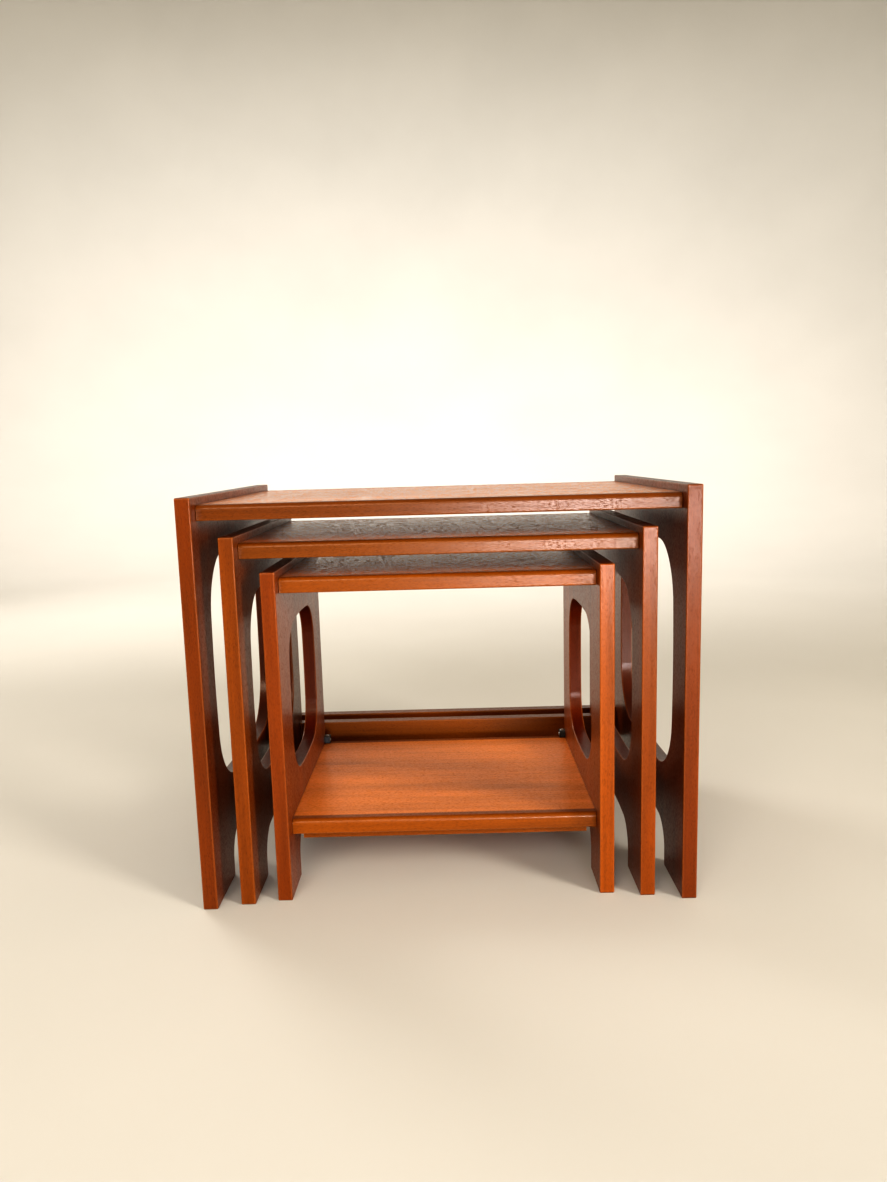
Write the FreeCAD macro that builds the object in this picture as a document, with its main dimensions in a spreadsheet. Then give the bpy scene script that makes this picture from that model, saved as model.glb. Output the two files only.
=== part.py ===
import FreeCAD, Part
import math
import os
import Sketcher

# Nest of three side tables. Each table is two end panels, each with a rounded
# window and an arched foot line, joined by a veneered top between them. The
# large and medium tables have a low rear rail, and the small one has a shelf.
#
# Frame: millimetres, +Z up, +X to the right of someone facing the front, the
# front at -Y. The origin is on the floor, under the middle of the large table.

doc = FreeCAD.newDocument("nesting_tables")
sheet = doc.addObject("Spreadsheet::Sheet", "Sizes")

DRIVING_SIZES = (
    ("large_width", 540, "over the end panels"),
    ("large_depth", 400, "front to back of the end panels"),
    ("large_height", 450, "floor to the top of the end panels"),
    ("panel_thickness", 16, "solid end panels"),
    ("side_clearance", 25.5, "between one table's end panel and the next one inside it"),
    ("medium_headroom", 17, "medium end panel to the underside of the large top"),
    ("small_headroom", 13.5, "small end panel to the underside of the medium top"),
    ("medium_front", 9, "medium front edge behind the large one, as nested"),
    ("small_front", 16, "small front edge behind the large one, as nested"),
    ("medium_rear_space", 25, "medium rear edge to the large rail, as nested"),
    ("small_rear_space", 27, "small rear edge to the medium rail, as nested"),
    ("medium_shift", 1.8, "medium table left of the middle, as nested"),
    ("small_shift", 3.7, "small table left of the middle, as nested"),
    ("corner_radius", 1.5, "rounding of the end panels' corners"),
    ("arris_radius", 1.2, "rounding of the long edges"),
    ("large_stile", 52, "wood beside the window, front and back"),
    ("medium_stile", 52, "wood beside the window, front and back"),
    ("small_stile", 58, "wood beside the window, front and back"),
    ("large_sill", 114, "floor to the lowest point of the window"),
    ("medium_sill", 118, "floor to the lowest point of the window"),
    ("small_sill", 120, "floor to the lowest point of the window"),
    ("large_head", 38, "highest point of the window to the underside of the top"),
    ("medium_head", 42, "highest point of the window to the underside of the top"),
    ("small_head", 42.5, "highest point of the window to the underside of the top"),
    ("large_corner", 69, "corner radius of the window"),
    ("medium_corner", 58, "corner radius of the window"),
    ("small_corner", 46, "corner radius of the window"),
    ("large_bulge", 1030, "radius of the window's gently curved sides"),
    ("medium_bulge", 860, "radius of the window's gently curved sides"),
    ("small_bulge", 680, "radius of the window's gently curved sides"),
    ("large_foot", 82, "front to back of each foot"),
    ("medium_foot", 70, "front to back of each foot"),
    ("small_foot", 62, "front to back of each foot"),
    ("arch_height", 56, "floor to the highest point of the arch between the feet"),
    ("arch_corner", 32, "corner radius of the arch"),
    ("arch_crown", 900, "radius of the arch's gently curved top"),
    ("top_upstand", 8.5, "end panels above the tabletop"),
    ("top_setback", 19, "tabletop's front edge behind the end panels' front"),
    ("core_thickness", 15.6, "board inside each top and the shelf"),
    ("veneer_thickness", 0.6, "each sheet of veneer"),
    ("lipping_width", 12, "solid edging, front to back"),
    ("lipping_radius", 5, "upper rounding of the edging"),
    ("lipping_under_radius", 1.5, "lower rounding of the edging"),
    ("lipping_end_radius", 0.6, "softened ends of the edging"),
    ("rail_thickness", 16, "rear rail, front to back"),
    ("rail_depth", 44, "rear rail, top to bottom"),
    ("rail_top", 104, "floor to the top of the rear rail"),
    ("shelf_top", 85.5, "floor to the top of the shelf"),
    ("shelf_setback", 21, "shelf's front edge behind the end panels' front"),
    ("batten_setback", 23, "batten behind the shelf's front edge"),
    ("batten_thickness", 16, "batten, front to back"),
    ("batten_depth", 15, "batten, top to bottom"),
    ("batten_end_gap", 8, "batten's end to the end panel"),
    ("dowel_radius", 4, "dowels in all the joints"),
    ("dowel_in_panel", 10, "how far a dowel goes into an end panel"),
    ("dowel_in_board", 20, "how far a dowel goes into a board or a rail"),
    ("dowel_end_space", 1, "room for glue at each end of a dowel"),
    ("glue_gap", 0.15, "room for glue round a dowel"),
    ("top_dowel_margin", 35, "outer dowels from the core's front and back edges"),
    ("rail_dowel_margin", 11, "dowels from the rail's top and bottom edges"),
    ("block_width", 8, "corner block, along X"),
    ("block_length", 13, "corner block, front to back"),
    ("block_height", 9.5, "corner block, top to bottom"),
    ("block_rounding", 1.5, "rounding of the corner block's edges"),
    ("screw_radius", 1.4, "screw shank"),
    ("screw_head_radius", 2.5, "screw head"),
    ("screw_head_height", 1.2, "screw head above the block"),
    ("screw_bite", 8, "how far a screw goes into the wood"),
    ("screw_clearance", 0.1, "round a screw shank"),
    ("block_screw_margin", 3.8, "sideways screw behind the corner block's front"),
)

# Dowels along each end of a board.
TOP_DOWELS = {"large": 4, "medium": 4, "small": 3}
SHELF_DOWELS = 3


class Size:
    """A length that knows both its value and the sheet formula that gives it."""

    def __init__(self, value, formula):
        self.value = value
        self.formula = formula

    def __add__(self, other):
        other = as_size(other)
        return Size(self.value + other.value, f"({self.formula} + {other.formula})")

    def __sub__(self, other):
        other = as_size(other)
        return Size(self.value - other.value, f"({self.formula} - {other.formula})")

    def __mul__(self, number):
        return Size(self.value * number, f"({self.formula} * {number})")

    def __truediv__(self, number):
        return Size(self.value / number, f"({self.formula} / {number})")

    def __neg__(self):
        return Size(-self.value, f"(0 - {self.formula})")


def as_size(item):
    if isinstance(item, Size):
        return item
    return Size(float(item), str(item))


def fill_sheet():
    """Write the driving sizes to the sheet, and return them by name."""
    sizes = {}
    for row, (name, value, meaning) in enumerate(DRIVING_SIZES, start=1):
        sheet.set(f"A{row}", name)
        sheet.set(f"B{row}", str(value))
        sheet.set(f"C{row}", meaning)
        sheet.setAlias(f"B{row}", name)
        sizes[name] = Size(float(value), f"Sizes.{name}")
    doc.recompute()
    return sizes


size = fill_sheet()
top_thickness = size["core_thickness"] + size["veneer_thickness"] * 2

FRONT = -1
REAR = 1
LEFT = -1
RIGHT = 1
SIDES = (LEFT, RIGHT)
SIDE_NAMES = {LEFT: "left", RIGHT: "right"}
X_AXIS = FreeCAD.Vector(1, 0, 0)
Y_AXIS = FreeCAD.Vector(0, 1, 0)
Z_AXIS = FreeCAD.Vector(0, 0, 1)
SAME_PLACE = 1e-4


# ---------------------------------------------------------------- helpers

def bind(item, **lengths):
    """Tie properties of an object to sheet formulas."""
    for name, length in lengths.items():
        item.setExpression(name, as_size(length).formula)


def place(item, x, y, z, axis=Z_AXIS, degrees=0):
    """Put an object at x, y, z, all of them sheet formulas."""
    item.Placement = FreeCAD.Placement(FreeCAD.Vector(), FreeCAD.Rotation(axis, degrees))
    for coordinate, length in (("x", x), ("y", y), ("z", z)):
        item.setExpression(f"Placement.Base.{coordinate}", as_size(length).formula)


def origin_plane(body, role):
    return next(item for item in body.Origin.OriginFeatures if item.Role == role)


def new_body(name):
    body = doc.addObject("PartDesign::Body", name)
    body.Label = name
    return body


def new_sketch(body, name, role):
    sketch = body.newObject("Sketcher::SketchObject", name)
    sketch.AttachmentSupport = (origin_plane(body, role), "")
    sketch.MapMode = "FlatFace"
    return sketch


def constrain(sketch, kind, *references):
    sketch.addConstraint(Sketcher.Constraint(kind, *references))


def measure(sketch, name, kind, references, length):
    """Add a named dimension that follows the sheet."""
    index = sketch.addConstraint(Sketcher.Constraint(kind, *references, length.value))
    sketch.renameConstraint(index, name)
    sketch.setExpression(f"Constraints.{name}", length.formula)


START = 1
END = 2
CENTRE = 3
ORIGIN = (-1, 1)
ACROSS = -1
UPRIGHT = -2


def rectangle_sketch(body, name, role, left, low, width, height):
    """A rectangle whose lower left corner is at left, low."""
    sketch = new_sketch(body, name, role)
    right = left + width
    high = low + height
    corners = ((left, low), (right, low), (right, high), (left, high))
    points = [FreeCAD.Vector(across.value, up.value, 0) for across, up in corners]
    for start, end in zip(points, points[1:] + points[:1]):
        sketch.addGeometry(Part.LineSegment(start, end), False)
    for edge in range(4):
        constrain(sketch, "Coincident", edge, END, (edge + 1) % 4, START)
    for edge, kind in enumerate(("Horizontal", "Vertical", "Horizontal", "Vertical")):
        constrain(sketch, kind, edge)
    measure(sketch, "width", "DistanceX", (0, START, 0, END), width)
    measure(sketch, "height", "DistanceY", (1, START, 1, END), height)
    measure(sketch, "left", "DistanceX", (*ORIGIN, 0, START), left)
    measure(sketch, "low", "DistanceY", (*ORIGIN, 0, START), low)
    return sketch


def pad(body, sketch, name, length, backwards=False):
    feature = body.newObject("PartDesign::Pad", name)
    feature.Profile = sketch
    feature.Reversed = backwards
    bind(feature, Length=length)
    doc.recompute()
    return feature


def cut_through(body, sketch, name, backwards):
    """Pocket the sketch through the body, and make sure that it removed wood."""
    before = body.Shape.Volume
    feature = body.newObject("PartDesign::Pocket", name)
    feature.Profile = sketch
    feature.Type = "ThroughAll"
    feature.Reversed = backwards
    doc.recompute()
    if body.Shape.Volume > before - 1:
        raise RuntimeError(f"{name} removed nothing")
    return feature


def round_edges(body, name, radius, wanted):
    """Fillet the edges of the body's last feature for which wanted(edge) is true."""
    base = body.Tip
    names = [f"Edge{number}" for number, edge in enumerate(base.Shape.Edges, start=1) if wanted(edge)]
    feature = body.newObject("PartDesign::Fillet", name)
    feature.Base = (base, names)
    bind(feature, Radius=radius)
    doc.recompute()
    return feature


def lies_at(edge, axis, position):
    """Whether the whole edge lies in the plane where the given axis has this value."""
    box = edge.BoundBox
    low = getattr(box, f"{axis}Min")
    high = getattr(box, f"{axis}Max")
    return abs(low - position) < SAME_PLACE and abs(high - position) < SAME_PLACE


# ---------------------------------------------------------------- curved outlines

def arc(centre, radius, start, end):
    circle = Part.Circle(FreeCAD.Vector(centre[0], centre[1], 0), Z_AXIS, radius)
    return Part.ArcOfCircle(circle, start, end)


def window_corner_centre(half_width, half_height, bulge, corner):
    """Centre of the small arc that touches a side arc and the top arc from inside."""
    reach = bulge - corner
    side_x = half_width - bulge
    top_y = half_height - bulge
    spacing = math.hypot(side_x, top_y)
    offset = math.sqrt(reach ** 2 - (spacing / 2) ** 2)
    return (side_x / 2 - offset * top_y / spacing, top_y / 2 - offset * side_x / spacing)


def window_sketch(body, half_width, half_height, middle, bulge, corner):
    """A rounded window: four gently curved sides joined by four corner arcs."""
    sketch = new_sketch(body, "window_outline", "YZ_Plane")
    sketch.setExpression("AttachmentOffset.Base.y", middle.formula)
    small = corner.value
    wide = bulge.value
    side_x = half_width.value - wide
    top_y = half_height.value - wide
    x, y = window_corner_centre(half_width.value, half_height.value, wide, small)
    tilt = math.atan2(y, x - side_x)
    lean = math.atan2(y - top_y, x)
    half_turn = math.pi
    for piece in (
        arc((side_x, 0), wide, -tilt, tilt),
        arc((x, y), small, tilt, lean),
        arc((0, top_y), wide, lean, half_turn - lean),
        arc((-x, y), small, half_turn - lean, half_turn - tilt),
        arc((-side_x, 0), wide, half_turn - tilt, half_turn + tilt),
        arc((-x, -y), small, half_turn + tilt, half_turn + lean),
        arc((0, -top_y), wide, half_turn + lean, 2 * half_turn - lean),
        arc((x, -y), small, 2 * half_turn - lean, 2 * half_turn - tilt),
    ):
        sketch.addGeometry(piece, False)
    for number in range(8):
        constrain(sketch, "Tangent", number, END, (number + 1) % 8, START)
    right, top, left, bottom = 0, 2, 4, 6
    for side in (top, left, bottom):
        constrain(sketch, "Equal", right, side)
    for corner_arc in (3, 5, 7):
        constrain(sketch, "Equal", 1, corner_arc)
    constrain(sketch, "PointOnObject", right, CENTRE, ACROSS)
    constrain(sketch, "PointOnObject", top, CENTRE, UPRIGHT)
    constrain(sketch, "Symmetric", right, CENTRE, left, CENTRE, UPRIGHT)
    constrain(sketch, "Symmetric", top, CENTRE, bottom, CENTRE, ACROSS)
    measure(sketch, "bulge", "Radius", (right,), bulge)
    measure(sketch, "corner", "Radius", (1,), corner)
    measure(sketch, "half_width", "DistanceX", (right, CENTRE, *ORIGIN), bulge - half_width)
    measure(sketch, "half_height", "DistanceY", (top, CENTRE, *ORIGIN), bulge - half_height)
    return sketch


def arch_sketch(body, half_width, height, crown, corner, below):
    """The space between the feet: upright sides, round corners and a curved top."""
    sketch = new_sketch(body, "arch_outline", "YZ_Plane")
    wide = half_width.value
    small = corner.value
    large = crown.value
    top_centre = (0, height.value - large)
    x = wide - small
    y = top_centre[1] + math.sqrt((large - small) ** 2 - x ** 2)
    lean = math.atan2(y - top_centre[1], x)
    floor = -below.value
    low_left, low_right = FreeCAD.Vector(-wide, floor, 0), FreeCAD.Vector(wide, floor, 0)
    high_left, high_right = FreeCAD.Vector(-wide, y, 0), FreeCAD.Vector(wide, y, 0)
    for piece in (
        Part.LineSegment(low_left, low_right),
        Part.LineSegment(low_right, high_right),
        arc((x, y), small, 0, lean),
        arc(top_centre, large, lean, math.pi - lean),
        arc((-x, y), small, math.pi - lean, math.pi),
        Part.LineSegment(high_left, low_left),
    ):
        sketch.addGeometry(piece, False)
    base, right, right_corner, top, left_corner, left = range(6)
    constrain(sketch, "Coincident", base, END, right, START)
    constrain(sketch, "Coincident", left, END, base, START)
    upper_pieces = (right, right_corner, top, left_corner, left)
    for first, second in zip(upper_pieces, upper_pieces[1:]):
        constrain(sketch, "Tangent", first, END, second, START)
    constrain(sketch, "Vertical", right)
    constrain(sketch, "Vertical", left)
    constrain(sketch, "Equal", right_corner, left_corner)
    constrain(sketch, "PointOnObject", top, CENTRE, UPRIGHT)
    constrain(sketch, "Symmetric", base, START, base, END, UPRIGHT)
    measure(sketch, "corner", "Radius", (right_corner,), corner)
    measure(sketch, "crown", "Radius", (top,), crown)
    measure(sketch, "span", "DistanceX", (base, START, base, END), half_width * 2)
    measure(sketch, "below", "DistanceY", (base, START, *ORIGIN), below)
    measure(sketch, "height", "DistanceY", (top, CENTRE, *ORIGIN), crown - height)
    return sketch


# ---------------------------------------------------------------- the three tables

class Table:
    """Where one table of the nest stands, and the sizes that its pieces share."""

    def __init__(self, name, width, height, depth, front, shift):
        self.name = name
        self.width = width
        self.height = height
        self.depth = depth
        self.front = front
        self.rear = front + depth
        self.middle_y = front + depth / 2
        self.middle_x = -shift
        self.between = width - size["panel_thickness"] * 2
        self.underside = height - size["top_upstand"] - top_thickness

    def own(self, size_name):
        """The size of this table alone, such as the width of its feet."""
        return size[f"{self.name}_{size_name}"]

    def inner_face(self, side):
        """X of the end panel's inner face on one side."""
        return self.middle_x + self.between * (side * 0.5)


LARGE = Table("large", size["large_width"], size["large_height"], size["large_depth"],
              -size["large_depth"] / 2, as_size(0))


def next_table(name, outer):
    """The table that stands inside the outer one, smaller by the named clearances."""
    width = outer.between - size["side_clearance"] * 2
    height = outer.underside - size[f"{name}_headroom"]
    front = LARGE.front + size[f"{name}_front"]
    rear = outer.rear - size["rail_thickness"] - size[f"{name}_rear_space"]
    return Table(name, width, height, rear - front, front, size[f"{name}_shift"])


MEDIUM = next_table("medium", LARGE)
SMALL = next_table("small", MEDIUM)
TABLES = (LARGE, MEDIUM, SMALL)


class Board:
    """A veneered board between two end panels: a top, or the small table's shelf."""

    def __init__(self, table, name, setback, top):
        self.table = table
        self.name = f"{table.name}_{name}"
        self.front = table.front + setback
        self.rear = table.rear
        self.top = top
        self.bottom = top - top_thickness
        self.core_front = self.front + size["lipping_width"]
        self.core_rear = self.rear - size["lipping_width"]
        self.core_bottom = self.bottom + size["veneer_thickness"]
        self.core_middle = self.core_bottom + size["core_thickness"] / 2

    def dowel_seats(self, count):
        """Y and Z of the dowels along each end of the core."""
        first = self.core_front + size["top_dowel_margin"]
        spacing = (self.core_rear - size["top_dowel_margin"] - first) / (count - 1)
        return [(first + spacing * step, self.core_middle) for step in range(count)]


# ---------------------------------------------------------------- dowels

def joint_cylinders(name, table, seats, radius, into_panel, into_board):
    """Cylinders along X that cross the two end joints of a table at each seat, listed by side."""
    cylinders = {}
    for side in SIDES:
        cylinders[side] = []
        outer = into_panel if side == LEFT else into_board
        for y, z in seats:
            cylinder = doc.addObject("Part::Cylinder", f"{name}_{SIDE_NAMES[side]}")
            bind(cylinder, Radius=radius, Height=into_panel + into_board)
            place(cylinder, table.inner_face(side) - outer, y, z, Y_AXIS, 90)
            cylinders[side].append(cylinder)
    return cylinders


def both_sides(items):
    return items[LEFT] + items[RIGHT]


def group(label, items):
    """One object that holds several separate solids."""
    compound = doc.addObject("Part::Compound", label)
    compound.Label = label
    compound.Links = items
    return compound


def dowel_joint(name, table, seats):
    """The dowels as one sub-part, and the holes that they are glued into, listed by side."""
    space = size["dowel_end_space"]
    dowels = joint_cylinders(f"{name}_dowel", table, seats, size["dowel_radius"],
                             size["dowel_in_panel"], size["dowel_in_board"])
    holes = joint_cylinders(f"{name}_hole", table, seats, size["dowel_radius"] + size["glue_gap"],
                            size["dowel_in_panel"] + space, size["dowel_in_board"] + space)
    return group(f"{name}_dowels", both_sides(dowels)), holes


def cut_holes(label, solid, holes):
    """The solid with its holes, under the sub-part's own name."""
    solid.Label = f"{label}_blank"
    result = doc.addObject("Part::Cut", f"{label}_drilled")
    result.Label = label
    result.Base = solid
    result.Tool = group(f"{label}_holes", holes)
    return result


# ---------------------------------------------------------------- end panels

def panel_blank(table, side):
    """One end panel without its dowel holes: board, window, arch and softened edges."""
    thickness = size["panel_thickness"]
    towards_minus_x = side == LEFT
    body = new_body(f"{table.name}_{SIDE_NAMES[side]}_panel_blank")
    outline = rectangle_sketch(body, "board_outline", "YZ_Plane", -table.depth / 2, as_size(0),
                               table.depth, table.height)
    pad(body, outline, "board", thickness, backwards=towards_minus_x)

    window_top = table.underside - table.own("head")
    window_low = table.own("sill")
    window = window_sketch(body, table.depth / 2 - table.own("stile"),
                           (window_top - window_low) / 2, (window_top + window_low) / 2,
                           table.own("bulge"), table.own("corner"))
    cut_through(body, window, "window", backwards=not towards_minus_x)

    arch = arch_sketch(body, table.depth / 2 - table.own("foot"), size["arch_height"],
                       size["arch_crown"], size["arch_corner"], size["arch_corner"])
    cut_through(body, arch, "arch", backwards=not towards_minus_x)

    def is_corner(edge):
        across = edge.BoundBox.YLength < SAME_PLACE and edge.BoundBox.ZLength < SAME_PLACE
        return across and (lies_at(edge, "Z", 0) or lies_at(edge, "Z", table.height.value))

    def is_long_edge(edge):
        return lies_at(edge, "X", 0) or lies_at(edge, "X", side * thickness.value)

    round_edges(body, "corners", size["corner_radius"], is_corner)
    round_edges(body, "arrises", size["arris_radius"], is_long_edge)
    place(body, table.inner_face(side), table.middle_y, as_size(0))
    return body


def end_panels(table, hole_sets):
    """Both end panels, each with the holes of its own side from every set."""
    panels = []
    for side in SIDES:
        own_holes = [hole for holes in hole_sets for hole in holes[side]]
        label = f"{table.name}_{SIDE_NAMES[side]}_end_panel"
        panels.append(cut_holes(label, panel_blank(table, side), own_holes))
    return panels


# ---------------------------------------------------------------- tops and shelf

def plain_board(label, length, depth, height, x, y, z):
    box = doc.addObject("Part::Box", label)
    box.Label = label
    bind(box, Length=length, Width=depth, Height=height)
    place(box, x, y, z)
    return box


def lipping(board, end):
    """Solid edging along the board's front or rear, with its outer edges rounded."""
    width = size["lipping_width"]
    table = board.table
    body = new_body(f"{board.name}_{'front' if end == FRONT else 'rear'}_lipping")
    outline = rectangle_sketch(body, "section", "YZ_Plane", as_size(0), as_size(0), width, top_thickness)
    pad(body, outline, "strip", table.between)

    def along_front(height):
        return lambda edge: lies_at(edge, "Y", 0) and lies_at(edge, "Z", height)

    def is_end(edge):
        at_end = lies_at(edge, "X", 0) or lies_at(edge, "X", table.between.value)
        return at_end and not lies_at(edge, "Y", width.value)

    round_edges(body, "upper_round", size["lipping_radius"], along_front(top_thickness.value))
    round_edges(body, "lower_round", size["lipping_under_radius"], along_front(0))
    round_edges(body, "soft_ends", size["lipping_end_radius"], is_end)
    if end == FRONT:
        place(body, table.inner_face(LEFT), board.front, board.bottom)
    else:
        place(body, table.inner_face(RIGHT), board.rear, board.bottom, Z_AXIS, 180)
    return body


def veneered_board(board, core_holes, lipping_holes=()):
    """Core, two sheets of veneer and two lippings, the rear one drilled if need be."""
    table = board.table
    left = table.inner_face(LEFT)
    depth = board.core_rear - board.core_front
    sheet_thickness = size["veneer_thickness"]

    def layer(suffix, height, z):
        label = f"{board.name}_{suffix}"
        return plain_board(label, table.between, depth, height, left, board.core_front, z)

    core_box = layer("core", size["core_thickness"], board.core_bottom)
    core = cut_holes(f"{board.name}_core", core_box, both_sides(core_holes))
    face = layer("face_veneer", sheet_thickness, board.top - sheet_thickness)
    backing = layer("backing_veneer", sheet_thickness, board.bottom)
    rear_lipping = lipping(board, REAR)
    if lipping_holes:
        rear_lipping = cut_holes(f"{board.name}_rear_lipping", rear_lipping, lipping_holes)
    return [core, face, backing, lipping(board, FRONT), rear_lipping]


# ---------------------------------------------------------------- rails, batten, blocks

def rounded_bar(label, length, depth, height, radius):
    """A bar along X with its four long edges rounded, lower front left corner at its origin."""
    body = new_body(label)
    outline = rectangle_sketch(body, "section", "YZ_Plane", as_size(0), as_size(0), depth, height)
    pad(body, outline, "bar", length)
    along_x = length.value - SAME_PLACE
    round_edges(body, "arrises", radius, lambda edge: edge.BoundBox.XLength > along_x)
    return body


def rear_rail(table, holes):
    bar = rounded_bar(f"{table.name}_rail_bar", table.between, size["rail_thickness"],
                      size["rail_depth"], size["arris_radius"])
    place(bar, table.inner_face(LEFT), table.rear - size["rail_thickness"],
          size["rail_top"] - size["rail_depth"])
    return cut_holes(f"{table.name}_rear_rail", bar, both_sides(holes))


def rail_dowel_seats(table):
    middle = table.rear - size["rail_thickness"] / 2
    upper = size["rail_top"] - size["rail_dowel_margin"]
    lower = size["rail_top"] - size["rail_depth"] + size["rail_dowel_margin"]
    return [(middle, upper), (middle, lower)]


def shelf_batten(shelf):
    """Stiffening batten glued under the shelf, short of both end panels."""
    gap = size["batten_end_gap"]
    table = shelf.table
    batten = rounded_bar(f"{shelf.name}_batten", table.between - gap * 2, size["batten_thickness"],
                         size["batten_depth"], size["arris_radius"])
    place(batten, table.inner_face(LEFT) + gap, shelf.front + size["batten_setback"],
          shelf.bottom - size["batten_depth"])
    return batten


def shank(name, seat, axis, degrees, radius, length):
    cylinder = doc.addObject("Part::Cylinder", name)
    bind(cylinder, Radius=radius, Height=length)
    place(cylinder, *seat, axis, degrees)
    return cylinder


def screw_and_hole(name, seat, axis, degrees, through):
    """A screw whose head sits at the seat, and the hole that its shank needs."""
    length = through + size["screw_bite"]
    clearance = size["screw_clearance"]
    head = doc.addObject("Part::Cone", f"{name}_head")
    bind(head, Radius1=size["screw_head_radius"], Radius2=size["screw_radius"],
         Height=size["screw_head_height"])
    place(head, *seat, axis, degrees + 180)
    screw = doc.addObject("Part::Fuse", name)
    screw.Base = shank(f"{name}_shank", seat, axis, degrees, size["screw_radius"], length)
    screw.Tool = head
    hole = shank(f"{name}_hole", seat, axis, degrees,
                 size["screw_radius"] + clearance, length + clearance)
    return screw, hole


def block_screws(shelf, side):
    """One screw sideways into the end panel, and one down into the shelf's rear lipping."""
    face = shelf.table.inner_face(side)
    name = f"{shelf.name}_{SIDE_NAMES[side]}_screw"
    sideways_seat = (face - size["block_width"] * side,
                     shelf.rear - size["block_length"] + size["block_screw_margin"],
                     shelf.top + size["block_height"] / 2)
    down_seat = (face - size["block_width"] * (side * 0.5),
                 shelf.rear - size["lipping_width"] / 2,
                 shelf.top + size["block_height"])
    return (screw_and_hole(f"{name}_sideways", sideways_seat, Y_AXIS, 90 * side, size["block_width"]),
            screw_and_hole(f"{name}_down", down_seat, X_AXIS, 180, size["block_height"]))


def corner_block_blank(shelf, side):
    name = f"{shelf.name}_{SIDE_NAMES[side]}_block_blank"
    bar = rounded_bar(name, size["block_width"], size["block_length"], size["block_height"],
                      size["block_rounding"])
    left = shelf.table.inner_face(LEFT)
    right = shelf.table.inner_face(RIGHT) - size["block_width"]
    place(bar, left if side == LEFT else right, shelf.rear - size["block_length"], shelf.top)
    return bar


def corner_blocks(shelf):
    """Blocks and screws on the shelf's rear corners, with the holes in the panels and the lipping."""
    blocks = []
    screws = []
    panel_holes = {}
    lipping_holes = []
    for side in SIDES:
        (sideways, side_hole), (down, down_hole) = block_screws(shelf, side)
        label = f"{shelf.name}_{SIDE_NAMES[side]}_corner_block"
        blocks.append(cut_holes(label, corner_block_blank(shelf, side), [side_hole, down_hole]))
        screws += [sideways, down]
        panel_holes[side] = [side_hole]
        lipping_holes.append(down_hole)
    return blocks + [group(f"{shelf.name}_block_screws", screws)], panel_holes, lipping_holes


# ---------------------------------------------------------------- assembly

def build_table(table, top_dowel_count):
    """The end panels, top and lower member of one table."""
    top = Board(table, "top", size["top_setback"], table.height - size["top_upstand"])
    top_dowels, top_holes = dowel_joint(top.name, table, top.dowel_seats(top_dowel_count))
    pieces = [top_dowels] + veneered_board(top, top_holes)
    hole_sets = [top_holes]
    if table is SMALL:
        shelf = Board(table, "shelf", size["shelf_setback"], size["shelf_top"])
        low_dowels, low_holes = dowel_joint(shelf.name, table, shelf.dowel_seats(SHELF_DOWELS))
        fittings, panel_holes, lipping_holes = corner_blocks(shelf)
        pieces += veneered_board(shelf, low_holes, lipping_holes)
        pieces += fittings + [shelf_batten(shelf), low_dowels]
        hole_sets.append(panel_holes)
    else:
        low_dowels, low_holes = dowel_joint(f"{table.name}_rail", table, rail_dowel_seats(table))
        pieces += [rear_rail(table, low_holes), low_dowels]
    hole_sets.append(low_holes)
    return pieces + end_panels(table, hole_sets)


def check(pieces):
    """Stop if any object failed to recompute, or any sub-part isn't a sound solid."""
    for item in doc.Objects:
        if "Invalid" in item.State or "Error" in item.State:
            raise RuntimeError(f"{item.Label} did not recompute: {item.State}")
    for piece in pieces:
        if piece.Shape.isNull() or not piece.Shape.isValid():
            raise RuntimeError(f"{piece.Label} has no sound shape")


sub_parts = []
for nested_table in TABLES:
    sub_parts += build_table(nested_table, TOP_DOWELS[nested_table.name])
doc.recompute()
check(sub_parts)

os.makedirs("parts", exist_ok=True)
for piece in sub_parts:
    piece.Shape.exportStep(f"parts/{piece.Label}.step")
    print(f"{piece.Label}: {len(piece.Shape.Solids)} solid(s), {piece.Shape.Volume / 1000:.1f} cm3")
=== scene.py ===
# %% [markdown]
# # A nest of three teak tables
# The tables are cabinet work: solid teak end panels with a large rounded window, and veneered
# tops with solid teak edging. The shapes are simple, so almost everything that makes them
# look real is in the wood: its figure, its open pores, and the satin lacquer over it.
# Every length below is in metres unless its name ends in `_MM`.
#
# The tables come in as a fixed frame: 38 separate pieces on three bodies, each at its true
# size and place. They could be modelled again here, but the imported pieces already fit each
# other, so this script only gives them their finishes, a studio, light and a camera.

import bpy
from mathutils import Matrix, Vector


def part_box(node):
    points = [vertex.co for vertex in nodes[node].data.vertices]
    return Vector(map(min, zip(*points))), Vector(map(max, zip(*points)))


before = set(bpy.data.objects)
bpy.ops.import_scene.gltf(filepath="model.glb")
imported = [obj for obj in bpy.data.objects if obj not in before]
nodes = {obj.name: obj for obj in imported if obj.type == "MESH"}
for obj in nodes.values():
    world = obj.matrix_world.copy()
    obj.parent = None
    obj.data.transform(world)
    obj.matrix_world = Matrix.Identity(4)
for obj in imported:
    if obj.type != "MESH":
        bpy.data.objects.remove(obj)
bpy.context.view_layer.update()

# %% [markdown]
# ## Modules and units
# The pieces of the frame are ordinary Blender objects, kept by name.

# %% Import the modules and name the units
import math

import bmesh
import bpy
from mathutils import Matrix, Vector

MM = 0.001

# %% [markdown]
# ## Colours
# Wood colours are easiest to pick as sRGB hex values, which are what a screen shows. Blender's
# shaders work in linear light, so one function turns each value.

# %% Turn a hex colour to linear light


def linear(hex_colour):
    """An sRGB hex colour as the four linear numbers that a shader socket takes."""
    channels = [int(hex_colour[start:start + 2], 16) / 255 for start in (1, 3, 5)]
    return [c / 12.92 if c <= 0.04045 else ((c + 0.055) / 1.055) ** 2.4 for c in channels] + [1.0]


print("mid teak in linear light:", [round(value, 3) for value in linear("#A5602F")])

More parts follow.
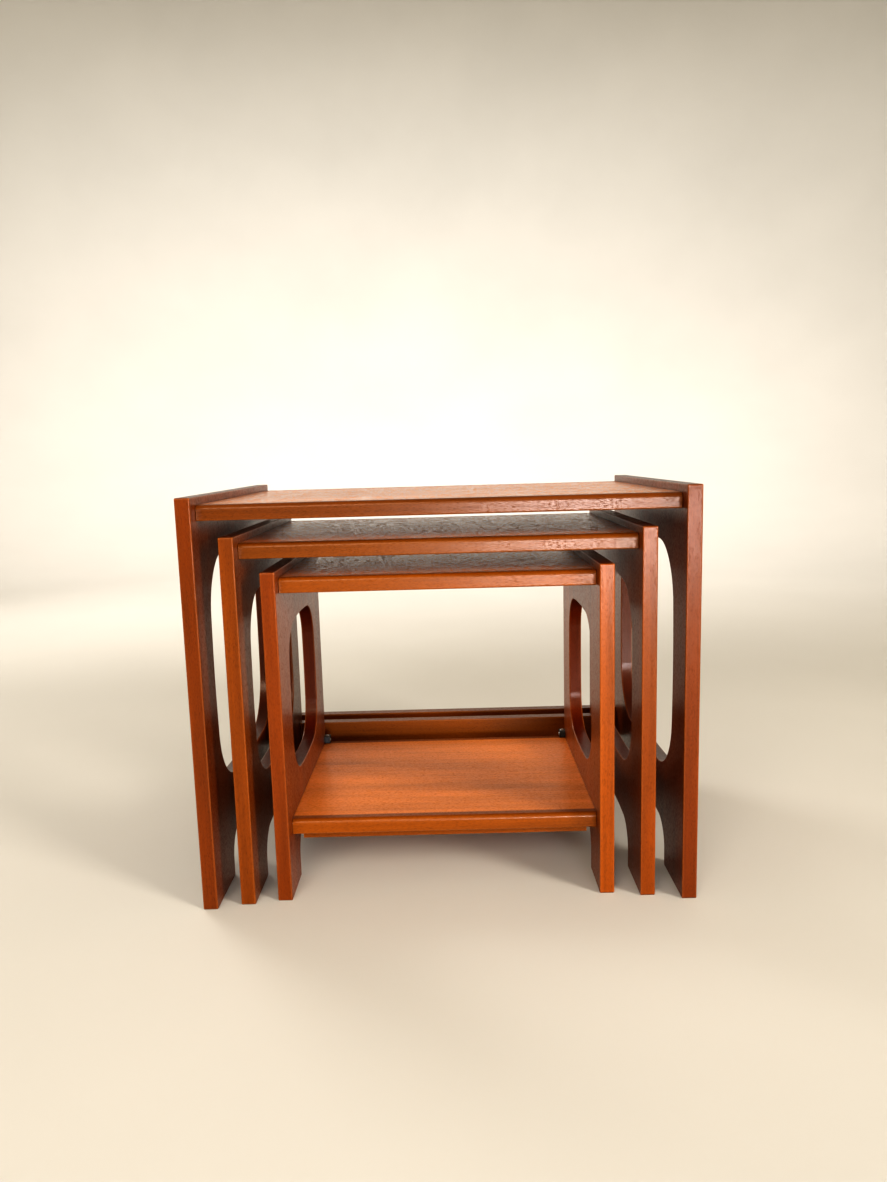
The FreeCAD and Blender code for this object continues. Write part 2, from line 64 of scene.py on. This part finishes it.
# %% [markdown]
# ## One way to add a shader node
# A shader is a web of nodes. Each node has settings, such as its blend mode, and inputs, which
# hold a value or take a link from another node's output. One small function does all of it,
# so each material below reads as a list of what is mixed with what.

# %% A function that adds a node with its settings and links


def add(tree, kind, settings=None, **inputs):
    """Add a node. Inputs are named by socket, with spaces as underscores, or numbered as _0, _1."""
    made = tree.nodes.new(kind)
    for name, value in (settings or {}).items():
        if name == "stops":
            ramp = made.color_ramp
            while len(ramp.elements) < len(value):
                ramp.elements.new(0.5)
            for element, (position, colour) in zip(ramp.elements, value):
                element.position = position
                element.color = (linear(colour) if isinstance(colour, str) else
                                 colour if isinstance(colour, list) else (colour,) * 3 + (1.0,))
        else:
            setattr(made, name, value)
    for name, value in inputs.items():
        socket = made.inputs[int(name[1:])] if name[0] == "_" else made.inputs[name.replace("_", " ")]
        if isinstance(value, bpy.types.NodeSocket):
            tree.links.new(value, socket)
        else:
            socket.default_value = value
    return made


def new_material(name):
    """An empty material and its tree of nodes."""
    material = bpy.data.materials.new(name)
    material.use_nodes = True
    material.node_tree.nodes.clear()
    return material, material.node_tree


print("Coat_Roughness sets the socket", "Coat_Roughness".replace("_", " "))

# %% [markdown]
# ## Teak under satin lacquer
# Teak is a warm golden to red-brown wood that darkens with age and light. Three things give it
# away. Bands of early and late growth run along the board. Open pores show as short dark
# dashes along the grain, and as dots on end grain. The nitrocellulose lacquer of the period
# sits over it as a thin satin film, which sinks a little into the pores.
#
# It could be drawn with an image, but a pattern in three dimensions is better here: the same
# pattern then shows as stripes on a face, dashes on an edge and dots on end grain, as it does
# when a real board is cut. The pattern is noise squeezed across the grain and stretched
# along it.

# %% Sizes of the wood's pattern
# Each pair below is a width across the grain and a length along it.
WANDER_MM = 12  # how far the grain strays from straight
WANDER_CELL_MM = (120, 260)
FIGURE_MM = 24  # width of the broad bands of darker and lighter wood
FIGURE_LENGTH_MM = 420
RING_MM = (3.0, 130)  # single growth rings on a board's face
PORE_MM = (0.55, 3.5)  # real pores are about 0.3 mm wide: drawn coarser, or none would show
CROWD_MM = (6.0, 4.5)  # pores crowd together, and a crowd breaks the gloss
GROWTH_SHADES = ((0.30, 0.60), (0.45, 0.84), (0.56, 1.0), (0.72, 1.20))  # from late to early wood
PORE_SHADES = ((0.36, 1.0), (0.48, 0.0))
CROWD_START, CROWD_END = 0.40, 0.50
END_GRAIN_SHARE = 0.45
PORE_BROWN = "#5A3018"
END_GRAIN_BROWN = "#B08A6E"
# the window's routed edge: more stain, and painted shade inside the window
ROUTED_BROWN_AND_SHADE = "#B08672"
GRAIN = {"along_x": 0, "along_z": 2}


def stretched(tree, place, grain, across_mm, along_mm):
    """The place in the wood, counted in cells that are this wide and this long."""
    scale = [1000 / across_mm] * 3
    scale[GRAIN[grain]] = 1000 / along_mm
    return add(tree, "ShaderNodeMapping", Vector=place, Scale=scale).outputs[0]


print("a pore is drawn", PORE_MM[0], "mm wide and", PORE_MM[1], "mm long")

# %% [markdown]
# The colour is built up as the board shows it. Broad bands and fine rings are mixed into one
# growth value, and four shades run from dark late wood to pale early wood. Pores are cut into
# that as dark dashes. End grain takes up more stain. The routed edge of a window is darker too:
# partly stain, partly painted shade for the shade inside the window. The faces of a board could
# be painted one by one, but the figure would break where they meet.

# %% The wood's own colour: growth bands, rings and pores


def shade_of(hex_colour, strength):
    """A colour made darker or brighter in linear light, as late and early wood are."""
    return [channel * strength for channel in linear(hex_colour)[:3]] + [1.0]


def wood_colour(tree, grain, middle, figure_mm, ring_share, pore_depth, crowding, routed_and_shaded, seed):
    """The bare wood: its colour, with painted shade on a window's edge, and where pores break the film,
    from 0 to 1.
    """
    coordinates = add(tree, "ShaderNodeTexCoord")
    place = add(tree, "ShaderNodeVectorMath", {"operation": "ADD"},
                _0=coordinates.outputs["Object"], _1=(seed, seed * 0.7, seed * 1.3)).outputs[0]
    wander = add(tree, "ShaderNodeTexNoise", Vector=stretched(tree, place, grain, *WANDER_CELL_MM),
                 Scale=1.0, Detail=1.0)
    shift = add(tree, "ShaderNodeVectorMath", {"operation": "SCALE"}, _0=wander.outputs["Color"],
                Scale=WANDER_MM * MM).outputs[0]
    place = add(tree, "ShaderNodeVectorMath", {"operation": "ADD"}, _0=place, _1=shift).outputs[0]

    bands = add(tree, "ShaderNodeTexNoise", Scale=1.0, Detail=2.0, Roughness=0.5,
                Vector=stretched(tree, place, grain, figure_mm, FIGURE_LENGTH_MM))
    rings = add(tree, "ShaderNodeTexNoise", Scale=1.0, Detail=3.0, Roughness=0.6,
                Vector=stretched(tree, place, grain, *RING_MM))
    growth = add(tree, "ShaderNodeMix", {"data_type": "FLOAT"}, Factor=ring_share,
                 A=bands.outputs["Fac"], B=rings.outputs["Fac"]).outputs[0]
    stops = [(position, shade_of(middle, strength)) for position, strength in GROWTH_SHADES]
    colour = add(tree, "ShaderNodeValToRGB", {"stops": stops}, Fac=growth).outputs[0]

    fine = add(tree, "ShaderNodeTexNoise", Scale=1.0, Detail=1.0, Roughness=0.4,
               Vector=stretched(tree, place, grain, *PORE_MM))
    pores = add(tree, "ShaderNodeValToRGB", {"stops": PORE_SHADES}, Fac=fine.outputs["Fac"]).outputs[0]
    crowd = add(tree, "ShaderNodeTexNoise", Scale=1.0, Detail=2.0, Roughness=0.6,
                Vector=stretched(tree, place, grain, *CROWD_MM))
    crowds = add(tree, "ShaderNodeValToRGB", {"stops": ((CROWD_START, crowding), (CROWD_END, 0.0))},
                 Fac=crowd.outputs["Fac"]).outputs[0]
    broken = add(tree, "ShaderNodeMath", {"operation": "MAXIMUM"}, _0=pores, _1=crowds).outputs[0]
    share = add(tree, "ShaderNodeMath", {"operation": "MULTIPLY"}, _0=pores, _1=pore_depth).outputs[0]
    colour = add(tree, "ShaderNodeMix", {"data_type": "RGBA", "blend_type": "MULTIPLY"},
                 Factor=share, A=colour, B=linear(PORE_BROWN)).outputs[2]

    # End grain soaks up more finish, so it is darker and browner.
    facing = add(tree, "ShaderNodeSeparateXYZ", _0=coordinates.outputs["Normal"])
    across = add(tree, "ShaderNodeMath", {"operation": "ABSOLUTE"}, _0=facing.outputs[GRAIN[grain]])
    end_grain = add(tree, "ShaderNodeMapRange", {"interpolation_type": "SMOOTHSTEP"},
                    Value=across.outputs[0], From_Min=0.45, From_Max=0.95, To_Max=END_GRAIN_SHARE)
    colour = add(tree, "ShaderNodeMix", {"data_type": "RGBA", "blend_type": "MULTIPLY"},
                 Factor=end_grain.outputs[0], A=colour, B=linear(END_GRAIN_BROWN)).outputs[2]

    # A window's edge is cut with a router. It is never sanded as fine, and it drinks more stain.
    # Its darker colour is also painted shade, for the shade inside the window.
    # The panel's two faces point along X, so whatever doesn't is an edge.
    if routed_and_shaded:
        beside = add(tree, "ShaderNodeMath", {"operation": "ABSOLUTE"}, _0=facing.outputs["X"])
        edge = add(tree, "ShaderNodeMath", {"operation": "LESS_THAN"}, _0=beside.outputs[0], _1=0.5)
        spot = add(tree, "ShaderNodeSeparateXYZ", _0=coordinates.outputs["Object"])
        inside = add(tree, "ShaderNodeMath", {"operation": "COMPARE"}, _0=spot.outputs["Y"],
                     _1=sum(routed_and_shaded) / 2, _2=(routed_and_shaded[1] - routed_and_shaded[0]) / 2)
        share = add(tree, "ShaderNodeMath", {"operation": "MULTIPLY"},
                    _0=edge.outputs[0], _1=inside.outputs[0])
        colour = add(tree, "ShaderNodeMix", {"data_type": "RGBA", "blend_type": "MULTIPLY"},
                     Factor=share.outputs[0], A=colour, B=linear(ROUTED_BROWN_AND_SHADE)).outputs[2]
    return colour, broken


print("a plank's shades run from", GROWTH_SHADES[0][1], "to", GROWTH_SHADES[-1][1], "of its colour")

# %% [markdown]
# Fifty years of use leave their marks in two places. Hands and the next table rub the arrises,
# so the stain thins there and a few small knocks show pale wood. The paler arris is also a
# painted highlight, where light glints on the rounded edge. Polish and dust darken the inner
# corners, and the darkening there is painted shade too, which draws a thin line round every
# joint. They could be painted on by hand, but both follow the shape, so they are found by
# looking a few millimetres round each point: inwards for an arris, outwards for a corner.
# They stay right when a size changes.

# %% Wear and a painted highlight on the arrises, dirt and painted shade in the corners
ARRIS_MM = 1.8  # how far from an edge the rubbing and painted highlight reach
CORNER_MM = 5.0  # how far from a joint the dirt and painted shade reach
KNOCK_SPACING_MM = 30
KNOCK_MM = 1.0  # radius of one small knock
RUBBED_AND_GLINTING_TEAK = "#CC8448"
KNOCKED_TEAK = "#D9A070"
CORNER_DIRT_AND_SHADE = "#4A2414"


def aged_and_shaded(tree, colour, worn_and_glinting=True):
    """Dirt and painted shade in the joints; on solid wood, arrises rubbed paler with a painted glint."""
    if worn_and_glinting:
        edge = add(tree, "ShaderNodeAmbientOcclusion",
                   {"inside": True, "only_local": True, "samples": 4},
                   Distance=ARRIS_MM * MM).outputs["AO"]
        # The arris is rubbed paler: wear, and a painted highlight for the glint on the rounded edge.
        rubbed_and_glint = add(tree, "ShaderNodeMapRange", Value=edge, From_Min=0.85, From_Max=0.35, To_Max=0.75)
        colour = add(tree, "ShaderNodeMix", {"data_type": "RGBA"}, Factor=rubbed_and_glint.outputs[0],
                     A=colour, B=linear(RUBBED_AND_GLINTING_TEAK)).outputs[2]
        place = add(tree, "ShaderNodeTexCoord").outputs["Object"]
        spots = add(tree, "ShaderNodeTexVoronoi", Vector=place, Scale=1000 / KNOCK_SPACING_MM)
        knock = add(tree, "ShaderNodeMath", {"operation": "LESS_THAN"},
                    _0=spots.outputs["Distance"], _1=KNOCK_MM / KNOCK_SPACING_MM)
        at_edge = add(tree, "ShaderNodeMath", {"operation": "LESS_THAN"}, _0=edge, _1=0.75)
        shown = add(tree, "ShaderNodeMath", {"operation": "MULTIPLY"},
                    _0=knock.outputs[0], _1=at_edge.outputs[0])
        colour = add(tree, "ShaderNodeMix", {"data_type": "RGBA"}, Factor=shown.outputs[0],
                     A=colour, B=linear(KNOCKED_TEAK)).outputs[2]
    # Dirt and painted shade: the colour darkens where other surfaces close in round a point.
    air = add(tree, "ShaderNodeAmbientOcclusion", {"samples": 4}, Distance=CORNER_MM * MM)
    dirt_and_shade = add(tree, "ShaderNodeMapRange", Value=air.outputs["AO"], From_Min=0.62, From_Max=0.30,
               To_Max=0.75)
    return add(tree, "ShaderNodeMix", {"data_type": "RGBA", "blend_type": "MULTIPLY"},
               Factor=dirt_and_shade.outputs[0], A=colour, B=linear(CORNER_DIRT_AND_SHADE)).outputs[2]


print("arrises are rubbed", ARRIS_MM, "mm deep and joints are dark for", CORNER_MM, "mm")

# %% [markdown]
# The finish itself is two glossy layers over the wood. The lower one stands for lacquer that has
# sunk into the wood. The upper one is the film on top: it is smooth between pores, and thin
# and rough where they crowd. Nitrocellulose yellows with age, so the light that the lower
# layer mirrors is faintly amber. A clear coat alone would look like wet plastic.

# %% The lacquered wood as one finish
JOINT_LINE_MM = 0.5  # half the width of the glue line between veneer and edging
PORE_RELIEF_MM = 0.2
LACQUER_IOR = 1.5
AMBER = "#F6CC9C"
GLUE_BROWN = "#8A5A40"
BROKEN_SHARE = 0.15  # how much of the film is left over a crowd of pores


def teak(name, grain, middle, figure_mm=FIGURE_MM, ring_share=0.4, pore_depth=0.3, crowding=0.15,
         roughness=0.32, dulled=0.25, relief=0.1, shine=0.26, lacquer=0.32,
         lacquer_roughness=0.23, routed_and_shaded=(), worn_and_glinting=True, joint_rows=(), seed=0.0):
    """Lacquered teak, whose middle shade names the plank.

    Crowding is how far a crowd of pores breaks the film, dulled how much rougher it is there, and
    relief how deep it sinks. Shine and lacquer are the strengths of the lower and upper layers.
    """
    material, tree = new_material(name)
    colour, broken = wood_colour(tree, grain, middle, figure_mm, ring_share, pore_depth, crowding,
                                 routed_and_shaded, seed)
    colour = aged_and_shaded(tree, colour, worn_and_glinting)

    # A dark hair line where the veneer meets the solid edging.
    for row in joint_rows:
        place = add(tree, "ShaderNodeTexCoord").outputs["Object"]
        spot = add(tree, "ShaderNodeSeparateXYZ", _0=place)
        line = add(tree, "ShaderNodeMath", {"operation": "COMPARE"}, _0=spot.outputs["Y"], _1=row,
                   _2=JOINT_LINE_MM * MM)
        colour = add(tree, "ShaderNodeMix", {"data_type": "RGBA", "blend_type": "MULTIPLY"},
                     Factor=line.outputs[0], A=colour, B=linear(GLUE_BROWN)).outputs[2]

    # The film is smooth between pores and broken over them.
    dullness = add(tree, "ShaderNodeMapRange", Value=broken, To_Min=roughness, To_Max=roughness + dulled)
    film = add(tree, "ShaderNodeMapRange", Value=broken, To_Min=lacquer, To_Max=lacquer * BROKEN_SHARE)
    bump = add(tree, "ShaderNodeBump", {"invert": True}, Strength=relief,
               Distance=PORE_RELIEF_MM * MM, Height=broken)
    finish = add(tree, "ShaderNodeBsdfPrincipled", Base_Color=colour, Roughness=dullness.outputs[0],
                 IOR=LACQUER_IOR, Specular_IOR_Level=shine, Specular_Tint=linear(AMBER),
                 Coat_Weight=film.outputs[0], Coat_Roughness=lacquer_roughness,
                 Coat_IOR=LACQUER_IOR, Normal=bump.outputs[0], Coat_Normal=bump.outputs[0])
    add(tree, "ShaderNodeOutputMaterial", Surface=finish.outputs[0])
    return material


print("the film is amber,", [round(value, 3) for value in linear(AMBER)])

# %% [markdown]
# The same function makes every cut of teak on the piece. The end panels are solid boards with
# upright grain, each its own plank: the large table's are the darkest, and the small table's
# right one is the palest. Rails, edging and the batten are solid with the grain along them.
# The tops and the shelf are sliced veneer, which is paler and has a broader, quieter figure.
# The tops' veneer is a shade browner than the shelf's and carries a fuller film, so they mirror
# more and their pores show more. One teak for every piece would be simpler, but a nest in one
# shade looks moulded. Each cut starts at its own place in the pattern, which the seed sets.

# %% The cuts of teak, table by table
PLANKS = {
    "large": {"left": "#6B2F01", "right": "#682C01", "edging": "#663201"},
    "medium": {"left": "#733701", "right": "#783801", "edging": "#6A3601"},
    "small": {"left": "#703101", "right": "#894201", "edging": "#7C3F01"},
}
VENEER = "#D88234"
WINDOW_INSET = 6 * MM  # the panel's front and rear edges lie outside it, its window inside
TOP_FILM = {"middle": "#BF743A", "crowding": 1.0, "roughness": 0.28, "dulled": 0.7,
            "relief": 0.4, "shine": 0.8, "lacquer": 1.0}
SHELF_FILM = {"middle": VENEER, "crowding": 0.3, "roughness": 0.36, "dulled": 0.25,
              "relief": 0.1, "shine": 0.3, "lacquer": 0.3}

cuts = {}
for count, (table, plank) in enumerate(PLANKS.items()):
    for side in ("left", "right"):
        panel = f"{table}_{side}_end_panel"
        low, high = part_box(panel)
        cuts[panel] = teak(f"{table}_{side}_teak_plank", "along_z", plank[side],
                           routed_and_shaded=(low[1] + WINDOW_INSET, high[1] - WINDOW_INSET),
                           seed=len(cuts))
    cuts[table, "long"] = teak(f"{table}_solid_teak_long", "along_x", plank["edging"], seed=count)
    cuts[table, "backing"] = teak(f"{table}_backing_veneer", "along_x", VENEER, figure_mm=30,
                                  pore_depth=0.5, lacquer=0.6, worn_and_glinting=False, seed=3 + count)

for name in sorted(name for name in nodes if name.endswith("face_veneer")):
    low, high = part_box(name)
    film = SHELF_FILM if "shelf" in name else TOP_FILM
    cuts[name] = teak(f"sliced_teak_{name}", "along_x", figure_mm=48, ring_share=0.3,
                      lacquer_roughness=0.18, worn_and_glinting=False, joint_rows=(low[1], high[1]),
                      seed=len(cuts), **film)
print("made", len(cuts), "cuts of teak")

# %% [markdown]
# ## What is inside and underneath
# The boards hide a core of particle board and beech dowels. They are covered on the finished
# piece, but they get their own finishes, so that the tables also look right taken apart.
# The corner blocks are moulded nylon, and their screws are steel with a zinc plate.

# %% Particle board, beech, nylon and steel
FLAKE_MM = (2.0, 5.0)
FLECK_MM = (0.6, 4.0)
MOULD_GRIT_MM = 0.4
ZINC_CLOUD_MM = 1.5


def particle_board():
    """Pressed wood chips: pale flakes a few millimetres long in a darker glue."""
    material, tree = new_material("pressed_particle_board")
    place = add(tree, "ShaderNodeTexCoord").outputs["Object"]
    flakes = add(tree, "ShaderNodeTexVoronoi", Scale=1.0,
                 Vector=stretched(tree, place, "along_x", *FLAKE_MM))
    shade = add(tree, "ShaderNodeValToRGB",
                {"stops": ((0.0, "#7E6242"), (0.5, "#B9976A"), (1.0, "#D8BC90"))},
                Fac=flakes.outputs["Color"])
    bump = add(tree, "ShaderNodeBump", Strength=0.4, Distance=0.3 * MM, Height=flakes.outputs["Distance"])
    finish = add(tree, "ShaderNodeBsdfPrincipled", Base_Color=shade.outputs[0], Roughness=0.85,
                 Normal=bump.outputs[0])
    add(tree, "ShaderNodeOutputMaterial", Surface=finish.outputs[0])
    return material


def turned_beech():
    """Raw beech: pale pinkish wood with short dark flecks along the grain."""
    material, tree = new_material("raw_turned_beech")
    place = add(tree, "ShaderNodeTexCoord").outputs["Object"]
    flecks = add(tree, "ShaderNodeTexNoise", Scale=1.0,
                 Vector=stretched(tree, place, "along_x", *FLECK_MM))
    shade = add(tree, "ShaderNodeValToRGB", {"stops": ((0.3, "#A87B55"), (0.6, "#D2AE86"))},
                Fac=flecks.outputs["Fac"])
    finish = add(tree, "ShaderNodeBsdfPrincipled", Base_Color=shade.outputs[0], Roughness=0.7)
    add(tree, "ShaderNodeOutputMaterial", Surface=finish.outputs[0])
    return material


def moulded_nylon():
    """Black nylon with the fine grain that a sparked mould leaves."""
    material, tree = new_material("moulded_black_nylon")
    place = add(tree, "ShaderNodeTexCoord").outputs["Object"]
    grit = add(tree, "ShaderNodeTexNoise", Vector=place, Scale=1000 / MOULD_GRIT_MM, Detail=1.0)
    shade = add(tree, "ShaderNodeValToRGB", {"stops": ((0.3, "#0D0D0E"), (0.7, "#1B1B1C"))},
                Fac=grit.outputs["Fac"])
    bump = add(tree, "ShaderNodeBump", Strength=0.3, Distance=0.05 * MM, Height=grit.outputs["Fac"])
    finish = add(tree, "ShaderNodeBsdfPrincipled", Base_Color=shade.outputs[0], Roughness=0.45,
                 IOR=1.53, Normal=bump.outputs[0])
    add(tree, "ShaderNodeOutputMaterial", Surface=finish.outputs[0])
    return material


def zinc_plate():
    """Bright zinc over steel, a little cloudy with age."""
    material, tree = new_material("zinc_plated_steel")
    place = add(tree, "ShaderNodeTexCoord").outputs["Object"]
    clouds = add(tree, "ShaderNodeTexNoise", Vector=place, Scale=1000 / ZINC_CLOUD_MM, Detail=2.0)
    shade = add(tree, "ShaderNodeValToRGB", {"stops": ((0.3, "#8C8E90"), (0.7, "#C4C6C6"))},
                Fac=clouds.outputs["Fac"])
    dullness = add(tree, "ShaderNodeMapRange", Value=clouds.outputs["Fac"], To_Min=0.25, To_Max=0.5)
    finish = add(tree, "ShaderNodeBsdfPrincipled", Base_Color=shade.outputs[0], Metallic=1.0,
                 Roughness=dullness.outputs[0])
    add(tree, "ShaderNodeOutputMaterial", Surface=finish.outputs[0])
    return material


core_board = particle_board()
beech = turned_beech()
nylon = moulded_nylon()
zinc = zinc_plate()
print("inner finishes:", core_board.name, beech.name, nylon.name, zinc.name)

# %% [markdown]
# ## Give each CAD piece its finish
# The CAD pieces keep their shape and place. Only the material in their slots changes, chosen by
# the end of the piece's name. They could be set piece by piece, but a name already says what
# a piece is made of.

# %% Assign the materials
FINISHES = (
    ("backing_veneer", "backing"),
    ("lipping", "long"),
    ("rear_rail", "long"),
    ("batten", "long"),
    ("core", core_board),
    ("dowels", beech),
    ("corner_block", nylon),
    ("screws", zinc),
)


def finish_of(name):
    """A sheet's own figure, one of the table's cuts of teak, or a finish all three tables share."""
    if name in cuts:
        return cuts[name]
    finish = next(finish for ending, finish in FINISHES if name.endswith(ending))
    return cuts[name.split("_")[0], finish] if isinstance(finish, str) else finish


for name, piece in nodes.items():
    piece.data.materials.clear()
    piece.data.materials.append(finish_of(name))
print("finished", len(nodes), "pieces")

# %% [markdown]
# ## The studio
# A studio cove: a pale floor that curves up into a wall, so no horizon shows. A flat floor and
# a separate wall would meet in a line. It is turned like a bowl, so it looks the same from
# every side.

# %% Turn the cove
COVE_CENTRE = 0.02  # radius of the small disc that closes the middle
COVE_FLOOR = 2.8  # radius of the flat floor
COVE_CURVE = 2.4  # radius of the quarter-round
COVE_WALL = 2.0
COVE_TURNS = 96
CURVE_STEPS = 16
PATCHES_PER_METRE = 1.5


def turned_cove():
    """A floor disc, a quarter-round and an upright wall, spun about the Z axis."""
    profile = [(COVE_CENTRE, 0.0), (COVE_FLOOR / 2, 0.0)]
    for step in range(CURVE_STEPS + 1):
        angle = math.pi / 2 * step / CURVE_STEPS
        profile.append((COVE_FLOOR + COVE_CURVE * math.sin(angle), COVE_CURVE * (1 - math.cos(angle))))
    profile.append((COVE_FLOOR + COVE_CURVE, COVE_CURVE + COVE_WALL))
    shape = bmesh.new()
    rings = []
    for radius, height in profile:
        ring = []
        for turn in range(COVE_TURNS):
            angle = 2 * math.pi * turn / COVE_TURNS
            ring.append(shape.verts.new((radius * math.cos(angle), radius * math.sin(angle), height)))
        rings.append(ring)
    shape.faces.new(rings[0])
    for inner, outer in zip(rings, rings[1:]):
        for turn in range(COVE_TURNS):
            after = (turn + 1) % COVE_TURNS
            face = shape.faces.new((inner[turn], outer[turn], outer[after], inner[after]))
            face.smooth = True
    mesh = bpy.data.meshes.new("studio_cove")
    shape.to_mesh(mesh)
    shape.free()
    cove = bpy.data.objects.new("studio_cove", mesh)
    bpy.context.scene.collection.objects.link(cove)
    return cove


def painted_floor():
    """Matt paint, pale and slightly cool, with the faintest unevenness of a roller."""
    material, tree = new_material("matt_studio_paint")
    place = add(tree, "ShaderNodeTexCoord").outputs["Object"]
    patches = add(tree, "ShaderNodeTexNoise", Vector=place, Scale=PATCHES_PER_METRE,
                  Detail=3.0)
    shade = add(tree, "ShaderNodeValToRGB", {"stops": ((0.3, "#CCCFCE"), (0.7, "#D1D4D3"))},
                Fac=patches.outputs["Fac"])
    finish = add(tree, "ShaderNodeBsdfPrincipled", Base_Color=shade.outputs[0], Roughness=0.8)
    add(tree, "ShaderNodeOutputMaterial", Surface=finish.outputs[0])
    return material


cove = turned_cove()
cove.data.materials.append(painted_floor())
print("the cove is", round(2 * (COVE_FLOOR + COVE_CURVE), 1), "m across")

# %% [markdown]
# ## Light
# Satin lacquer shows its light sources, so the lamps are chosen by what each puts on the wood.
# The key stands low to the front right: it makes the long soft shadows and warms every face
# turned to it. A strip nearer the camera lays the pale band on the rounded edges. A high lamp
# in front fills the shelf, and one behind on the left lights the back. A long bar over the
# tables washes the foot of the wall: that is what the tops mirror at such a flat angle. A second
# bar keeps the wall in front pale. Its light misses the floor near the tables, so the front
# edges keep their deep colour. Wide beams would leave a hard-edged bright patch on the floor.

# %% Place the lamps
AIM = Vector((0.0, 0.0, 0.25))


def around(azimuth, elevation, distance):
    """A place round the tables. Azimuth 0 is in front of them, 90 is to their right."""
    turn, rise = math.radians(azimuth), math.radians(elevation)
    return AIM + distance * Vector((math.sin(turn) * math.cos(rise), -math.cos(turn) * math.cos(rise),
                                    math.sin(rise)))


def soft_lamp(name, place, target, width, height, watts, hex_colour, spread):
    """A rectangular lamp at a place, turned to its target. Spread is its beam's angle in degrees."""
    lamp = bpy.data.lights.new(name, "AREA")
    lamp.shape = "RECTANGLE"
    lamp.size = width
    lamp.size_y = height
    lamp.energy = watts
    lamp.spread = math.radians(spread)
    lamp.color = linear(hex_colour)[:3]
    holder = bpy.data.objects.new(name, lamp)
    holder.location = place
    holder.rotation_euler = (place - target).to_track_quat("Z", "Y").to_euler()
    holder.visible_camera = False
    bpy.context.scene.collection.objects.link(holder)


WALL_BAR = Vector((0.0, 1.6, 3.0))
WALL_FOOT = Vector((0.0, COVE_FLOOR + 0.7 * COVE_CURVE, 0.0))
FRONT_BAR = Vector((0.0, -1.6, 3.0))
FRONT_WALL = Vector((0.0, -COVE_FLOOR - COVE_CURVE, 1.6))
soft_lamp("key_lamp", around(51, 18, 3.9), AIM, width=0.9, height=1.8,
          watts=32, hex_colour="#FFF0DE", spread=100)
soft_lamp("sheen_strip", around(11, 0, 3.0), AIM, width=0.8, height=0.45,
          watts=4.2, hex_colour="#F6F6FF", spread=50)
soft_lamp("high_fill", around(-14, 26, 2.8), AIM, width=1.4, height=0.9,
          watts=9, hex_colour="#FFF0DC", spread=100)
soft_lamp("back_fill", around(226, 22, 3.2), AIM, width=1.2, height=1.2,
          watts=11, hex_colour="#FFF4E8", spread=100)
soft_lamp("wall_wash", WALL_BAR, WALL_FOOT, width=4.0, height=0.4,
          watts=58, hex_colour="#FFF4EC", spread=120)
soft_lamp("front_wash", FRONT_BAR, FRONT_WALL, width=4.0, height=0.4,
          watts=40, hex_colour="#FFF4EC", spread=100)

# The sky stands for the light that the rest of a pale room sends back. The contrasty look keeps
# the darks of the wood deep.
SKY_STRENGTH = 0.48
world = bpy.data.worlds.new("studio_sky")
world.use_nodes = True
world.node_tree.nodes["Background"].inputs["Color"].default_value = linear("#FFE8CA")
world.node_tree.nodes["Background"].inputs["Strength"].default_value = SKY_STRENGTH
bpy.context.scene.world = world
bpy.context.scene.view_settings.view_transform = "Standard"
bpy.context.scene.view_settings.look = "High Contrast"

# %% [markdown]
# ## Camera
# It stands a little over a metre in front of the tables, just above the largest top, and looks
# slightly down: low enough for all three tops to show as thin slivers. A longer lens from
# further back would show the same side, but flatter, without the panels' strong convergence.

# %% Aim the camera, with its turns in degrees
PITCH_DOWN = 8.78
YAW_LEFT = 0.47
ROLL = -1.59
FRAME_HEIGHT_MM = 36.0
LENS_MM = 26.94
STAND = (0.0103, -1.1048, 0.4868)

camera = bpy.data.objects.new("camera", bpy.data.cameras.new("camera"))
camera.data.sensor_fit = "VERTICAL"
camera.data.sensor_height = FRAME_HEIGHT_MM
camera.data.lens = LENS_MM
turned = (Matrix.Rotation(math.radians(YAW_LEFT), 4, "Z")
          @ Matrix.Rotation(math.radians(90 - PITCH_DOWN), 4, "X")
          @ Matrix.Rotation(math.radians(ROLL), 4, "Z"))
camera.matrix_world = Matrix.Translation(STAND) @ turned
bpy.context.scene.collection.objects.link(camera)
bpy.context.scene.camera = camera
print("the camera is", round(camera.location.length, 2), "m from the middle of the floor")
